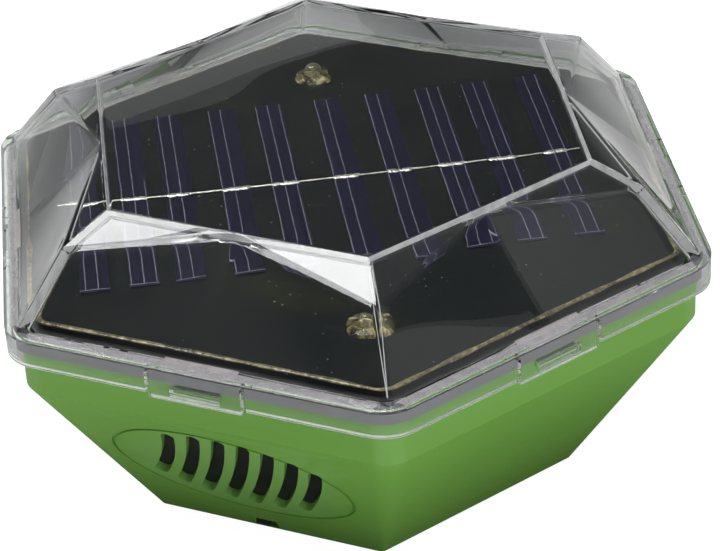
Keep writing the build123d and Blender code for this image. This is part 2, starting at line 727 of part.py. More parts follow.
def switch_body():
    """A slide switch on the floor, with its slot facing the notch in the wall."""
    z0 = Z_FLOOR_TOP
    body = side_box(SWITCH_SIDE, SWITCH_OUT - 4.0, SWITCH_OUT, -6.0, 5.0, z0, z0 + 4.4)
    body -= side_box(SWITCH_SIDE, SWITCH_OUT - 2.6, SWITCH_OUT + 1, KNOB_START - 0.3,
                     KNOB_START + KNOB_WIDE + SWITCH_TRAVEL + 0.3, z0 + 0.4, z0 + 3.0)
    return body


def switch_knob():
    """The switch's slider: a stem out of the body and a ridged tip in the notch."""
    z0 = Z_FLOOR_TOP
    end = KNOB_START + KNOB_WIDE
    knob = side_box(SWITCH_SIDE, SWITCH_OUT - 2.4, 54.0, KNOB_START, end, z0 + 0.5, z0 + 1.3)
    knob += side_box(SWITCH_SIDE, SWITCH_OUT - 2.4, SWITCH_OUT - 0.6, KNOB_START, end, z0 + 0.5, z0 + 2.8)
    knob += side_box(SWITCH_SIDE, 49.8, 54.2, KNOB_START, end, Z_FLOOR + 0.8, z0 + 1.3)
    for k in range(3):
        groove = KNOB_START + 0.8 + 0.9 * k
        knob -= side_box(SWITCH_SIDE, 53.9, 55.0, groove - 0.15, groove + 0.15, Z_FLOOR, z0 + 2)
    return knob


# ---------------------------------------------------------------- inner wires
def wire(points):
    """A round wire along straight runs joined by arcs as large as the runs allow."""
    path_points = [Vector(*p) for p in points]
    radii = []
    for before, here, after in zip(path_points, path_points[1:], path_points[2:]):
        turn = (here - before).get_angle(after - here)
        shorter = min((here - before).length, (after - here).length)
        radii.append(0.45 * shorter / math.tan(math.radians(turn / 2)))
    path = FilletPolyline(*path_points, radius=radii)
    start = path @ 0
    heading = path % 0
    return sweep(Plane(origin=start, z_dir=heading) * Circle(WIRE_R), path=path)


def pair_of_wires(points, gap=1.0):
    """Two wires side by side along X."""
    return [wire([(x + s * gap, y, z) for x, y, z in points]) for s in (-1, 1)]


PLUG_Z = Z_BOARD - 2.6


def panel_leads():
    plug = (PLUG_X[1], PLUG_Y - 1.5, PLUG_Z)
    return pair_of_wires([(-1.0, 0.0, Z_PANEL), (-1.0, 0.0, 64.0), (-1.6, -1.5, 59.0),
                          (-3.0, -5.0, 56.0), (plug[0], -9.5, PLUG_Z), plug])


def motor_leads():
    start = MOTOR_HIGH + 3.0
    left = [(-5.0, 5.8, start), (-5.0, 5.8, 47.6), (-3.0, 3.0, 50.6), (3.0, -4.0, 53.6),
            (4.0, -9.0, PLUG_Z), (4.0, PLUG_Y - 1.5, PLUG_Z)]
    right = [(5.0, 5.8, start), (5.0, 5.8, 47.6), (6.0, 3.0, 50.6), (6.4, -4.0, 53.8),
             (6.0, -9.0, PLUG_Z), (6.0, PLUG_Y - 1.5, PLUG_Z)]
    return [wire(left), wire(right)]


def battery_leads():
    edge = HOLDER_AT_Y - HOLDER_Y / 2
    plug_x = PLUG_X[3]
    return pair_of_wires([(26.0, edge, 60.0), (26.0, edge - 5.0, 60.0), (24.0, 4.0, 58.0),
                          (18.0, -3.0, 56.4), (plug_x, -8.0, PLUG_Z), (plug_x, PLUG_Y - 1.5, PLUG_Z)])


def led_leads():
    mid_board = Z_BOARD + BOARD_THICK / 2
    front = [(-1.27, -LED_Y, Z_DECK - 3.0), (-1.27, -LED_Y, 62.2), (-1.27, -60.5, mid_board),
             (-1.27, BOARD_AT_Y - BOARD_Y / 2, mid_board)]
    back = [(1.27, LED_Y, Z_DECK - 3.0), (1.27, LED_Y, 60.0), (4.0, 60.0, 56.0),
            (14.0, 54.0, 53.6), (29.0, 53.0, 53.4), (37.0, 43.0, 54.0), (38.0, 25.0, 55.0),
            (37.4, 8.0, 56.4), (37.0, -9.0, 58.0), (34.0, -20.0, mid_board),
            (BOARD_X / 2, -20.0, mid_board)]
    return [wire(front), wire(back)]


def switch_leads():
    base = at_side(SWITCH_SIDE, SWITCH_OUT - 2.0, 0.0, Z_FLOOR_TOP + 4.4)
    low = at_side(SWITCH_SIDE, SWITCH_OUT - 2.0, 0.0, 20.0)
    mid = at_side(SWITCH_SIDE, SWITCH_OUT + 1.0, 1.5, 33.0)
    return pair_of_wires([base, low, mid, (-18.0, -43.0, 43.0), (-14.0, -43.5, 50.5), (-14.0, -43.5, Z_BOARD)])


# ---------------------------------------------------------------- hand-out
write("lid", lid())
write("lid_gasket", lid_gasket())
write("solar_board", solar_board())
write("solar_cells", *solar_cells())
write("bus_wire", bus_wire())
write("panel_bead", panel_bead())
write("status_led_front", status_led(-LED_Y))
write("status_led_rear", status_led(LED_Y))
write("led_glue", *led_glue())
write("panel_deck", panel_deck())
write("deck_screws", *deck_screws())
write("base_housing", base_housing())
write("rubber_feet", *rubber_feet())
write("vent_screen_front", vent_screen(VENT_SIDES[0]))
write("vent_screen_rear", vent_screen(VENT_SIDES[1]))
write("screen_frame_front", screen_frame(VENT_SIDES[0]))
write("screen_frame_rear", screen_frame(VENT_SIDES[1]))
write("intake_guard", intake_guard())
write("guard_screws", *guard_screws())
write("fan_duct", fan_duct())
write("motor_screws", *motor_screws())
write("motor_can", motor_can())
write("motor_end_cap", motor_end_cap())
write("motor_bushes", *motor_bushes())
write("motor_magnets", *motor_magnets())
write("motor_terminals", *motor_terminals())
write("motor_shaft", motor_shaft())
write("motor_core", motor_core())
write("motor_windings", *motor_windings())
write("motor_commutator", motor_commutator())
write("impeller", impeller())
write("control_board", control_board())
write("board_screws", *board_screws())
write("board_chips", *board_chips())
write("board_coil", board_coil())
write("board_capacitors", *board_capacitors())
write("wire_plugs", *wire_plugs())
write("battery_holder", battery_holder())
write("battery_cells", *battery_cells())
write("battery_contacts", *battery_contacts())
write("holder_screws", *holder_screws())
write("switch_body", switch_body())
write("switch_knob", switch_knob())
write("panel_leads", *panel_leads())
write("motor_leads", *motor_leads())
write("battery_leads", *battery_leads())
write("led_leads", *led_leads())
write("switch_leads", *switch_leads())
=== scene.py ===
"""A small six-sided solar ventilator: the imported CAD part, its materials and its finer pieces.

Metres, in the row frame: +Z up, the feet stand on z = 0, and one corner of the hexagon points along -Y.
"""
import json
import math
import random

import bmesh
import bpy
from mathutils import Euler, Matrix, Quaternion, Vector


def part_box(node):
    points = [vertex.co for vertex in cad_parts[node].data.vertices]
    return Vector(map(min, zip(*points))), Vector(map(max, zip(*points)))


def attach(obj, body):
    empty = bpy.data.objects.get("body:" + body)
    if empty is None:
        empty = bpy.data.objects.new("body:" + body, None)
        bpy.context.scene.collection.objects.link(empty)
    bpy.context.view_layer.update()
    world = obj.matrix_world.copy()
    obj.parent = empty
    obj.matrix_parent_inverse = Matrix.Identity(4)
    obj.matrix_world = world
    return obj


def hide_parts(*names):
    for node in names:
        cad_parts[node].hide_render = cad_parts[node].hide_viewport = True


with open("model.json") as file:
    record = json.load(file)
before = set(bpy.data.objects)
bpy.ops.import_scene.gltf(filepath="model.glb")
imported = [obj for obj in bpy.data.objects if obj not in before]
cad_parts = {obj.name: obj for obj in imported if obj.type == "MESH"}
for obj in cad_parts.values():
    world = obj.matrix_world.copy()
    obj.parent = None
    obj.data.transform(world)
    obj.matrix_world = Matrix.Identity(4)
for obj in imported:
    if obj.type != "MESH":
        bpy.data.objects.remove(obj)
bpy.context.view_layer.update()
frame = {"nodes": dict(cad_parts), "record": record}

MM = 0.001
FLAT = math.cos(math.radians(30.0))

# ---- driving sizes, in millimetres, as in the CAD ----
LID_R, LID_ROUND = 100.0, 11.0
LID_FLAT = LID_R * FLAT
FOOT_R, SHOULDER_R, TOP_R = 96.6, 81.6, 68.2
DOME_WALL, SKIRT_WALL, FLANGE_THICK = 3.2, 2.0, 1.6
TONGUE_HALF, TONGUE_DROP, SLIT = 12.0, 1.2, 0.8
WINDOW_HALF, WINDOW_HIGH = 6.5, 2.3
LID_LOW, LID_HIGH = (corner.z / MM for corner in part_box("lid"))
Z_SKIRT = LID_LOW + TONGUE_DROP
Z_TOP = LID_HIGH
Z_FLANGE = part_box("solar_board")[1].z / MM
Z_SHOULDER = Z_TOP - 5.4
# The lid's corner lines from its top to its foot, as (corner radius, height), outside and inside.
DOME = ((TOP_R, Z_TOP), (SHOULDER_R, Z_SHOULDER), (FOOT_R, Z_FLANGE))
CAVITY = (
    (TOP_R - 0.3 * DOME_WALL, Z_TOP - DOME_WALL),
    (SHOULDER_R - 0.75 * DOME_WALL, Z_SHOULDER - 0.8 * DOME_WALL),
    (FOOT_R - 1.45 * DOME_WALL, Z_FLANGE),
)
PANEL_R = 90.0
CELL_PLACES = (-64.3, -52.1, -40.7, -26.1, -13.2, 2.9, 16.7, 30.6, 43.5, 57.9)
CELL_WIDE = 7.4
CELL_TURN = math.radians(0.9)
CELL_FRONT, CELL_BACK = -34.3, 49.6
BUS_Y = 6.7
BUS_GAP = 1.0
LED_Y = 63.0
LED_R = 2.5
LED_COLLAR = 2.85
LED_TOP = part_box("status_led_front")[1].z / MM
SIDES = [60.0 * k for k in range(6)]
CORNERS = [30.0 + 60.0 * k for k in range(6)]
BACK_SIDES = (0, 1)
FRONT_CORNER = 4


# ---------------------------------------------------------------- mesh helpers
def polar(radius, angle, z=0.0):
    """A place by its distance from the axis and its direction."""
    a = math.radians(angle)
    return Vector((radius * math.cos(a), radius * math.sin(a), z))


def at_side(angle, out, along=0.0, z=0.0):
    """A place by its distance out from the centre and along the side that faces angle."""
    a = math.radians(angle)
    return Vector((out * math.cos(a) - along * math.sin(a), out * math.sin(a) + along * math.cos(a), z))


def make_piece(name, bm, material, body, slot, *replaced):
    """A mesh piece from a bmesh in millimetres, riding on a body."""
    bmesh.ops.scale(bm, vec=(MM, MM, MM), verts=bm.verts)
    mesh = bpy.data.meshes.new(name)
    bm.to_mesh(mesh)
    bm.free()
    piece = bpy.data.objects.new(name, mesh)
    bpy.context.scene.collection.objects.link(piece)
    mesh.materials.append(material)
    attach(piece, body)
    if replaced:
        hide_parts(*replaced)
    return piece


def turned(bm):
    """Turns the cells' shapes with the cells, which lie slightly askew on the board."""
    bmesh.ops.rotate(bm, cent=(0, 0, 0), matrix=Matrix.Rotation(CELL_TURN, 3, "Z"), verts=bm.verts)
    return bm


def smooth(piece, angle=30.0):
    """Smooth shading, broken at edges sharper than angle."""
    piece.data.shade_smooth()
    piece.data.set_sharp_from_angle(angle=math.radians(angle))


def prism(bm, outline, low, high):
    """A closed prism on an outline of (x, y) points, counter-clockwise."""
    bottom = [bm.verts.new((x, y, low)) for x, y in outline]
    top = [bm.verts.new((x, y, high)) for x, y in outline]
    bm.faces.new(list(reversed(bottom)))
    bm.faces.new(top)
    for k in range(len(outline)):
        n = (k + 1) % len(outline)
        bm.faces.new((bottom[k], bottom[n], top[n], top[k]))


def hexagon(radius, rounding=0.0, steps=10):
    """A hexagon's outline, with a corner towards -Y and rounded corners."""
    points = []
    for corner in CORNERS:
        centre = polar(radius - rounding / FLAT, corner)
        if rounding == 0.0:
            points.append((centre.x, centre.y))
            continue
        for j in range(steps + 1):
            p = centre + polar(rounding, corner - 30.0 + 60.0 * j / steps)
            points.append((p.x, p.y))
    return points


def side_outline(angle, out_low, out_high, along_low, along_high):
    """The outline of a box square to one side of the hexagon."""
    corners = ((out_low, along_low), (out_high, along_low), (out_high, along_high), (out_low, along_high))
    return [tuple(at_side(angle, out, along).xy) for out, along in corners]


def tube(bm, points, radius, sides=8, squash=1.0, closed=False):
    """A tube along points; radius is a number or one for each point."""
    count = len(points)
    rings = []
    for i, p in enumerate(points):
        before = points[i - 1] if i > 0 or closed else p
        after = points[(i + 1) % count] if i < count - 1 or closed else p
        ahead = (after - before).normalized()
        up = Vector((0, 0, 1)) if abs(ahead.z) < 0.9 else Vector((1, 0, 0))
        right = ahead.cross(up).normalized()
        up = right.cross(ahead)
        r = radius[i] if isinstance(radius, list) else radius
        ring = []
        for j in range(sides):
            a = 2 * math.pi * j / sides
            ring.append(bm.verts.new(p + right * r * math.cos(a) + up * r * squash * math.sin(a)))
        rings.append(ring)
    spans = count if closed else count - 1
    for i in range(spans):
        a, b = rings[i], rings[(i + 1) % count]
        for j in range(sides):
            n = (j + 1) % sides
            bm.faces.new((a[j], a[n], b[n], b[j]))
    if not closed:
        bm.faces.new(list(reversed(rings[0])))
        bm.faces.new(rings[-1])


def lathe(bm, profile, centre, sides=32):
    """A closed turned shape from (radius, z) points, the first and last of them on the axis."""
    rings = []
    for radius, z in profile:
        if radius == 0.0:
            rings.append([bm.verts.new(centre + Vector((0, 0, z)))])
            continue
        rings.append([bm.verts.new(centre + polar(radius, 360.0 * j / sides, z)) for j in range(sides)])
    for a, b in zip(rings, rings[1:]):
        for j in range(sides):
            n = (j + 1) % sides
            if len(a) == 1:
                bm.faces.new((a[0], b[n], b[j]))
            elif len(b) == 1:
                bm.faces.new((a[j], a[n], b[0]))
            else:
                bm.faces.new((a[j], a[n], b[n], b[j]))
    bmesh.ops.recalc_face_normals(bm, faces=bm.faces)


def mesh_object(bm):
    """A loose object for a boolean operation."""
    bmesh.ops.recalc_face_normals(bm, faces=bm.faces)
    mesh = bpy.data.meshes.new("tool")
    bm.to_mesh(mesh)
    bm.free()
    tool = bpy.data.objects.new("tool", mesh)
    bpy.context.scene.collection.objects.link(tool)
    return tool


def combine(target, bm, operation):
    """Joins, cuts or meets target with the closed shapes in bm."""
    cutter = mesh_object(bm)
    modifier = target.modifiers.new("combine", "BOOLEAN")
    modifier.operation = operation
    modifier.solver = "EXACT"
    modifier.object = cutter
    graph = bpy.context.evaluated_depsgraph_get()
    result = bpy.data.meshes.new_from_object(target.evaluated_get(graph))
    target.modifiers.remove(modifier)
    target.data = result
    bpy.data.objects.remove(cutter)


# ---------------------------------------------------------------- material helpers
class Material:
    """A node material round one Principled shader, in the piece's own coordinates."""

    def __init__(self, name, color, roughness, **inputs):
        self.material = bpy.data.materials.new(name)
        self.material.use_nodes = True
        self.tree = self.material.node_tree
        self.shader = self.tree.nodes["Principled BSDF"]
        self.place = self.node("ShaderNodeTexCoord").outputs["Object"]
        self.set("Base Color", (*color, 1.0))
        self.set("Roughness", roughness)
        for key, value in inputs.items():
            self.set(key.replace("_", " "), value)

    def node(self, kind, **settings):
        made = self.tree.nodes.new(kind)
        for key, value in settings.items():
            if key in made.inputs:
                made.inputs[key].default_value = value
            else:
                setattr(made, key, value)
        return made

    def link(self, output, target):
        self.tree.links.new(output, target)

    def set(self, socket, value):
        self.shader.inputs[socket].default_value = value

    def noise(self, scale, detail=3.0, stretch=None, distortion=0.0):
        """Noise of a feature size given as turns per metre."""
        made = self.node("ShaderNodeTexNoise", Scale=scale, Detail=detail, Distortion=distortion)
        place = self.place
        if stretch:
            mapping = self.node("ShaderNodeMapping")
            mapping.inputs["Scale"].default_value = stretch
            self.link(place, mapping.inputs["Vector"])
            place = mapping.outputs["Vector"]
        self.link(place, made.inputs["Vector"])
        return made.outputs["Fac"]

    def specks(self, scale, size):
        """One round speck in each cell of a Voronoi grid, as a mask from 0 to 1."""
        cells = self.node("ShaderNodeTexVoronoi", Scale=scale)
        self.link(self.place, cells.inputs["Vector"])
        return self.span(cells.outputs["Distance"], size, size * 0.6)

    def span(self, value, low, high, to_low=0.0, to_high=1.0):
        """value between low and high, stretched to another range and held inside it."""
        made = self.node("ShaderNodeMapRange")
        for key, number in (("From Min", low), ("From Max", high), ("To Min", to_low), ("To Max", to_high)):
            made.inputs[key].default_value = number
        self.link(value, made.inputs["Value"])
        return made.outputs["Result"]

    def math(self, operation, a, b):
        """A sum of two values, each a number or an output."""
        made = self.node("ShaderNodeMath", operation=operation)
        for socket, value in zip(made.inputs, (a, b)):
            if isinstance(value, (int, float)):
                socket.default_value = value
            else:
                self.link(value, socket)
        return made.outputs[0]

    def mix(self, factor, a, b):
        """Colour a to colour b; each is an RGB triple or an output."""
        made = self.node("ShaderNodeMix", data_type="RGBA")
        for socket, value in ((made.inputs[0], factor), (made.inputs[6], a), (made.inputs[7], b)):
            if isinstance(value, tuple):
                socket.default_value = (*value, 1.0)
            elif isinstance(value, (int, float)):
                socket.default_value = value
            else:
                self.link(value, socket)
        return made.outputs[2]

    def color(self, output):
        self.link(output, self.shader.inputs["Base Color"])

    def roughness(self, output):
        self.link(output, self.shader.inputs["Roughness"])

    def bump(self, height, distance, strength=1.0):
        """Relief of a height in metres."""
        made = self.node("ShaderNodeBump", Distance=distance, Strength=strength)
        self.link(height, made.inputs["Height"])
        self.link(made.outputs["Normal"], self.shader.inputs["Normal"])


# ---------------------------------------------------------------- materials
def see_through(m, shadow_share):
    """Lets lamps and soft light pass a clear piece, so what is under it is lit."""
    path = m.node("ShaderNodeLightPath")
    passing = m.math("MAXIMUM", path.outputs["Is Shadow Ray"], path.outputs["Is Diffuse Ray"])
    m.link(m.span(passing, 0.0, 1.0, 1.0, 1.0 - shadow_share), m.shader.inputs["Alpha"])


def clear_shell():
    """Clear moulded styrene with slight waves from the mould."""
    m = Material("clear_shell", (0.935, 0.95, 0.945), 0.0, Transmission_Weight=1.0, IOR=1.50)
    m.bump(m.noise(26.0, 0.0), 0.0010, 0.3)
    see_through(m, 0.9)
    return m.material


def moulding_painted_light(name, light, thin, thick):
    """Painted light: pale, partly clear colour inside the thick corners and rims of the clear moulding,
    standing in for the light seen there.
    """
    m = Material(name, light, 0.5)
    streaks = m.noise(240.0, 4.0, stretch=(1.0, 1.0, 0.4))
    m.color(m.mix(m.noise(90.0), light, tuple(0.8 * channel for channel in light)))
    m.link(m.span(streaks, 0.3, 0.7, thin, thick), m.shader.inputs["Alpha"])
    m.bump(streaks, 0.0001, 0.3)
    return m.material


def grey_seal():
    """Soft dark grey foam with a fine grain."""
    m = Material("grey_seal", (0.20, 0.20, 0.215), 0.62)
    grain = m.noise(2600.0, 3.0)
    m.color(m.mix(m.noise(120.0), (0.165, 0.167, 0.182), (0.215, 0.215, 0.228)))
    m.bump(grain, 0.00008, 0.5)
    return m.material


def black_epoxy():
    """Black laminate under a clear coat, with faint clouds, stains and specks of dust."""
    m = Material("black_epoxy", (0.012, 0.014, 0.012), 0.26, Specular_IOR_Level=0.3)
    clouds = m.noise(42.0, 4.0, distortion=0.6)
    base = m.mix(m.span(clouds, 0.35, 0.75), (0.0034, 0.0052, 0.0052), (0.0085, 0.0115, 0.0100))
    stains = m.span(m.noise(26.0, 2.0), 0.62, 0.75)
    base = m.mix(stains, base, (0.016, 0.017, 0.007))
    dust = m.math("MULTIPLY", m.specks(430.0, 0.11), m.span(m.noise(55.0, 2.0), 0.53, 0.60))
    base = m.mix(dust, base, (0.22, 0.23, 0.20))
    m.color(base)
    m.bump(m.noise(160.0, 3.0), 0.0002, 0.3)
    return m.material


def cell_blue():
    """Silicon: a deep blue with fine streaks along the cell and a slight mottle."""
    m = Material("cell_blue", (0.014, 0.014, 0.07), 0.28, Specular_IOR_Level=0.3)
    streaks = m.noise(700.0, 3.0, stretch=(1.0, 0.05, 1.0))
    mottle = m.noise(110.0, 3.0)
    blue = m.mix(m.span(streaks, 0.3, 0.7), (0.0032, 0.0034, 0.013), (0.0052, 0.0054, 0.024))
    m.color(m.mix(m.span(mottle, 0.45, 0.8, 0.0, 0.6), blue, (0.007, 0.006, 0.016)))
    m.bump(streaks, 0.00005, 0.4)
    return m.material


def tinned_wire():
    """Tin, dull in places."""
    m = Material("tinned_wire", (0.62, 0.60, 0.55), 0.34, Metallic=0.85)
    dull = m.noise(800.0, 4.0)
    m.color(m.mix(m.span(dull, 0.4, 0.7), (0.68, 0.66, 0.62), (0.36, 0.35, 0.30)))
    m.roughness(m.span(dull, 0.3, 0.7, 0.22, 0.5))
    m.bump(m.noise(1400.0, 2.0), 0.0002, 0.5)
    return m.material


def print_silver():
    """The thin lines printed on the cells."""
    m = Material("print_silver", (0.42, 0.42, 0.46), 0.5, Metallic=0.25)
    worn = m.noise(350.0, 3.0)
    m.color(m.mix(m.span(worn, 0.4, 0.7), (0.22, 0.22, 0.27), (0.11, 0.11, 0.16)))
    m.bump(m.noise(2500.0, 2.0), 0.00005, 0.5)
    return m.material


def amber_adhesive():
    """Hand-laid amber glue: olive where it is thin, beige where it is thick and catches light."""
    m = Material("amber_adhesive", (0.20, 0.18, 0.08), 0.3, Coat_Weight=0.5, Coat_Roughness=0.1)
    along = m.noise(70.0, 3.0)
    fine = m.noise(700.0, 3.0)
    base = m.mix(m.span(along, 0.35, 0.68), (0.055, 0.052, 0.025), (0.30, 0.25, 0.09))
    m.color(m.mix(m.span(fine, 0.55, 0.75, 0.0, 0.8), base, (0.50, 0.44, 0.28)))
    m.link(m.span(fine, 0.3, 0.6, 0.55, 1.0), m.shader.inputs["Alpha"])
    m.bump(fine, 0.0003, 0.6)
    return m.material


def clear_lens():
    """The lamps' pale yellow moulding."""
    m = Material("clear_lens", (0.96, 0.92, 0.55), 0.06, Transmission_Weight=0.9, IOR=1.45)
    m.bump(m.noise(400.0, 2.0), 0.0001, 0.2)
    see_through(m, 0.85)
    return m.material


def clear_glue():
    """Cloudy hot glue: nearly clear over the black board, yellow-brown and pale where it is thick."""
    m = Material("clear_glue", (0.30, 0.26, 0.12), 0.16, IOR=1.48)
    cloud = m.noise(330.0, 4.0, distortion=0.8)
    base = m.mix(m.span(cloud, 0.40, 0.62), (0.045, 0.038, 0.016), (0.34, 0.29, 0.12))
    m.color(m.mix(m.span(cloud, 0.62, 0.72), base, (0.78, 0.74, 0.52)))
    m.link(m.span(cloud, 0.35, 0.6, 0.30, 0.85), m.shader.inputs["Alpha"])
    m.roughness(m.span(cloud, 0.3, 0.7, 0.10, 0.32))
    m.bump(m.noise(600.0, 2.0), 0.0005, 0.8)
    return m.material


def black_plastic():
    """Plain black moulding with a fine grain."""
    m = Material("black_plastic", (0.02, 0.02, 0.021), 0.48)
    m.color(m.mix(m.noise(80.0), (0.016, 0.016, 0.017), (0.030, 0.030, 0.032)))
    m.bump(m.noise(3200.0, 2.0), 0.00006, 0.5)
    return m.material


def green_plastic():
    """Satin green moulding with a fine grain, faint flow marks and a painted highlight of lighter green on
    its edges.
    """
    m = Material("green_plastic", (0.14, 0.33, 0.048), 0.46, Specular_IOR_Level=0.18)
    flow = m.noise(9.0, 2.0, stretch=(1.0, 1.0, 2.5))
    green = m.mix(m.span(flow, 0.3, 0.7), (0.148, 0.345, 0.054), (0.175, 0.385, 0.070))
    geometry = m.node("ShaderNodeNewGeometry")
    # Painted highlight: convex edges and creases get a lighter green.
    edge_highlight = m.span(geometry.outputs["Pointiness"], 0.53, 0.60, 0.0, 0.35)
    m.color(m.mix(edge_highlight, green, (0.24, 0.47, 0.15)))
    grain = m.noise(1900.0, 2.0)
    m.roughness(m.span(grain, 0.3, 0.7, 0.41, 0.52))
    m.bump(grain, 0.00006, 0.35)
    return m.material


def black_rubber():
    """Soft dark rubber."""
    m = Material("black_rubber", (0.018, 0.018, 0.018), 0.7)
    m.color(m.mix(m.noise(200.0), (0.014, 0.014, 0.014), (0.028, 0.027, 0.026)))
    m.bump(m.noise(2200.0, 3.0), 0.0001, 0.5)
    return m.material


def metal(name, color, dark, roughness, grain=900.0, stretch=(1.0, 1.0, 0.08)):
    """A plain metal with a fine drawn or turned grain."""
    m = Material(name, color, roughness, Metallic=1.0)
    lines = m.noise(grain, 3.0, stretch=stretch)
    m.color(m.mix(m.span(m.noise(60.0), 0.35, 0.75), color, dark))
    m.roughness(m.span(lines, 0.3, 0.7, roughness * 0.75, roughness * 1.3))
    m.bump(lines, 0.00004, 0.4)
    return m.material


def cast(name, color, light, roughness, grain=1500.0):
    """A plain moulded, pressed or cast part with a soft grain."""
    m = Material(name, color, roughness)
    m.color(m.mix(m.span(m.noise(110.0), 0.35, 0.7), color, light))
    m.bump(m.noise(grain, 3.0), 0.00008, 0.5)
    return m.material


def board_laminate():
    """Green solder mask with copper tracks showing faintly through it."""
    m = Material("board_laminate", (0.02, 0.12, 0.05), 0.3, Coat_Weight=0.3)
    tracks = m.node("ShaderNodeTexBrick", Scale=260.0)
    m.link(m.place, tracks.inputs["Vector"])
    m.color(m.mix(m.span(tracks.outputs["Fac"], 0.0, 1.0), (0.018, 0.110, 0.045), (0.05, 0.20, 0.07)))
    m.bump(tracks.outputs["Fac"], 0.00006, 0.6)
    return m.material


def battery_wrap():
    """A plain two-tone sleeve: a dull green body and a pale band at one end."""
    m = Material("battery_wrap", (0.06, 0.20, 0.09), 0.3, Coat_Weight=0.4)
    axis = m.node("ShaderNodeSeparateXYZ")
    m.link(m.place, axis.inputs[0])
    band = m.span(m.math("ABSOLUTE", axis.outputs["X"], 0.0), 0.0165, 0.0168)
    m.color(m.mix(band, (0.05, 0.17, 0.08), (0.62, 0.62, 0.60)))
    m.bump(m.noise(900.0, 2.0), 0.00005, 0.4)
    return m.material


def copper_wire():
    """Wound enamelled wire, its turns as fine ridges."""
    m = Material("copper_wire", (0.55, 0.22, 0.09), 0.3, Metallic=0.8)
    turns = m.node("ShaderNodeTexWave", Scale=900.0, bands_direction="Z")
    m.link(m.place, turns.inputs["Vector"])
    m.color(m.mix(turns.outputs["Fac"], (0.30, 0.10, 0.04), (0.66, 0.28, 0.11)))
    m.bump(turns.outputs["Fac"], 0.0001, 0.8)
    return m.material


MATERIALS = {
    "clear_shell": clear_shell(),
    # Painted light: these four pale sheet materials stand in for the light seen in the thick clear plastic.
    "corner_painted_light": moulding_painted_light("corner_painted_light", (0.86, 0.87, 0.87), 0.32, 0.62),
    "rim_painted_light": moulding_painted_light("rim_painted_light", (0.92, 0.95, 0.92), 0.6, 0.9),
    "flange_painted_light": moulding_painted_light("flange_painted_light", (0.54, 0.52, 0.54), 0.28, 0.50),
    "pad_painted_light": moulding_painted_light("pad_painted_light", (0.42, 0.39, 0.39), 0.55, 0.85),
    "grey_seal": grey_seal(),
    "black_epoxy": black_epoxy(),
    "cell_blue": cell_blue(),
    "tinned_wire": tinned_wire(),
    "print_silver": print_silver(),
    "amber_adhesive": amber_adhesive(),
    "clear_lens": clear_lens(),
    "clear_glue": clear_glue(),
    "black_plastic": black_plastic(),
    "screw_steel": metal("screw_steel", (0.56, 0.56, 0.55), (0.36, 0.36, 0.35), 0.32),
    "green_plastic": green_plastic(),
    "black_rubber": black_rubber(),
    "screen_wire": cast("screen_wire", (0.010, 0.010, 0.011), (0.022, 0.022, 0.024), 0.55),
    "motor_steel": metal("motor_steel", (0.58, 0.58, 0.58), (0.40, 0.40, 0.41), 0.3),
    "white_nylon": cast("white_nylon", (0.70, 0.68, 0.60), (0.80, 0.78, 0.70), 0.45),
    "bronze": metal("bronze", (0.60, 0.42, 0.19), (0.38, 0.26, 0.12), 0.38),
    "ferrite": cast("ferrite", (0.035, 0.035, 0.036), (0.07, 0.07, 0.07), 0.55),
    "iron_core": metal("iron_core", (0.26, 0.26, 0.26), (0.14, 0.13, 0.12), 0.45, 2500.0, (0.1, 0.1, 1.0)),
    "copper_wire": copper_wire(),
    "fan_plastic": cast("fan_plastic", (0.045, 0.048, 0.052), (0.07, 0.073, 0.078), 0.42),
    "board_laminate": board_laminate(),
    "capacitor_can": metal("capacitor_can", (0.66, 0.66, 0.68), (0.48, 0.48, 0.50), 0.28),
    "battery_wrap": battery_wrap(),
    "contact_nickel": metal("contact_nickel", (0.66, 0.63, 0.56), (0.46, 0.44, 0.38), 0.25),
    "wire_cover": cast("wire_cover", (0.35, 0.02, 0.02), (0.45, 0.04, 0.03), 0.4),
}


def finish_cad_nodes():
    """Each CAD node takes its slot's material."""
    slots = {part["node"]: part["material_slot"] for part in frame["record"]["subparts"]}
    for name, node in frame["nodes"].items():
        node.data.materials.clear()
        node.data.materials.append(MATERIALS[slots[name]])


finish_cad_nodes()


